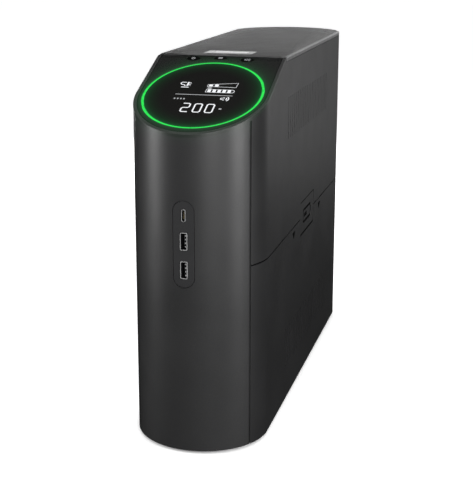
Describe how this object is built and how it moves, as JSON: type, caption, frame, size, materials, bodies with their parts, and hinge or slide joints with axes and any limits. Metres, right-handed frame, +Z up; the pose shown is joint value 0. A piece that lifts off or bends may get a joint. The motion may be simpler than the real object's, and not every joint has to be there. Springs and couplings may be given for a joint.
{
  "type": "uninterruptible power supply",
  "caption": "Slim tower uninterruptible power supply with a rounded front, slanted round-ring display, front USB ports and sheltered rear outlets.",
  "frame": {"origin": "middle of the footprint, on the surface that the feet stand on", "axes": "+Z up, -Y towards the front with the display, +X towards the battery door's side"},
  "size_m": [0.11, 0.4, 0.307],
  "materials": {
    "shell": "fine-grained satin",
    "top": "fine-ribbed satin",
    "gloss_face": "polished",
    "rim": "satin",
    "light_ring": "lit diffuser",
    "button": "satin",
    "plate": "brushed",
    "bright_metal": "plated",
    "brass": "plain",
    "black_plastic": "moulded",
    "board": "solder mask",
    "rubber": "soft",
    "steel": "zinc plated",
    "battery_case": "moulded",
    "copper": "enamelled wire",
    "aluminium": "extruded",
    "lead_red": "wire insulation"
  },
  "bodies": {
    "root": {"base_tray": "black_plastic", "battery_bay": "steel", "battery_connector": "black_plastic", "battery_outlets": "black_plastic", "black_lead": "rubber", "breaker_body": "black_plastic", "choke_coil": "copper", "control_board": "board", "control_panel": "gloss_face", "data_port": "black_plastic", "display_bezel": "rim", "display_window": "gloss_face", "earth_bus_bar": "brass", "fan_frame": "black_plastic", "front_left_foot": "rubber", "front_panel": "shell", "front_right_foot": "rubber", "lcd_module": "black_plastic", "left_badge": "rim", "left_heat_sink": "aluminium", "left_lower_cover": "shell", "left_upper_cover": "shell", "link_lead": "rubber", "live_bus_bar": "brass", "lower_battery": "battery_case", "lower_usb_socket": "bright_metal", "main_board": "board", "network_jacks": "black_plastic", "neutral_bus_bar": "brass", "outlet_panel": "black_plastic", "panel_screw_1": "steel", "panel_screw_2": "steel", "panel_screw_3": "steel", "panel_screw_4": "steel", "port_panel": "black_plastic", "power_inlet": "black_plastic", "rear_frame": "shell", "rear_left_foot": "rubber", "rear_right_foot": "rubber", "red_lead": "lead_red", "right_badge": "rim", "right_heat_sink": "aluminium", "right_upper_cover": "shell", "ring_led_board": "board", "ring_light": "light_ring", "surge_outlets": "black_plastic", "top_panel": "top", "top_plate": "plate", "transformer_coils": "copper", "transformer_core": "steel", "upper_battery": "battery_case", "upper_usb_socket": "bright_metal", "usb_board": "board", "usb_c_socket": "bright_metal"},
    "power_key": {"power_button": "button"},
    "menu_key": {"menu_button": "button"},
    "mute_key": {"mute_button": "button"},
    "breaker_reset": {"breaker_button": "button"},
    "door": {"battery_door": "shell"},
    "fan": {"fan_rotor": "black_plastic"}
  },
  "joints": [
    {"name": "power_press", "type": "slide", "parent": "root", "child": "power_key", "axis": [0, 0.4043, -0.9146], "range_m": [0, 0.001], "stiffness_N_per_m": 1500},
    {"name": "menu_press", "type": "slide", "parent": "root", "child": "menu_key", "axis": [0, 0.4043, -0.9146], "range_m": [0, 0.001], "stiffness_N_per_m": 1500},
    {"name": "mute_press", "type": "slide", "parent": "root", "child": "mute_key", "axis": [0, 0.4043, -0.9146], "range_m": [0, 0.001], "stiffness_N_per_m": 1500},
    {"name": "breaker_trip", "type": "slide", "parent": "root", "child": "breaker_reset", "axis": [0, 1, 0], "range_m": [0, 0.004]},
    {"name": "door_pull", "type": "slide", "parent": "root", "child": "door", "axis": [1, 0, 0], "range_m": [0, 0.06]},
    {"name": "fan_spin", "type": "hinge", "parent": "root", "child": "fan", "pos_m": [-0.0456, 0.035, 0.255], "axis": [1, 0, 0], "continuous": true}
  ]
}
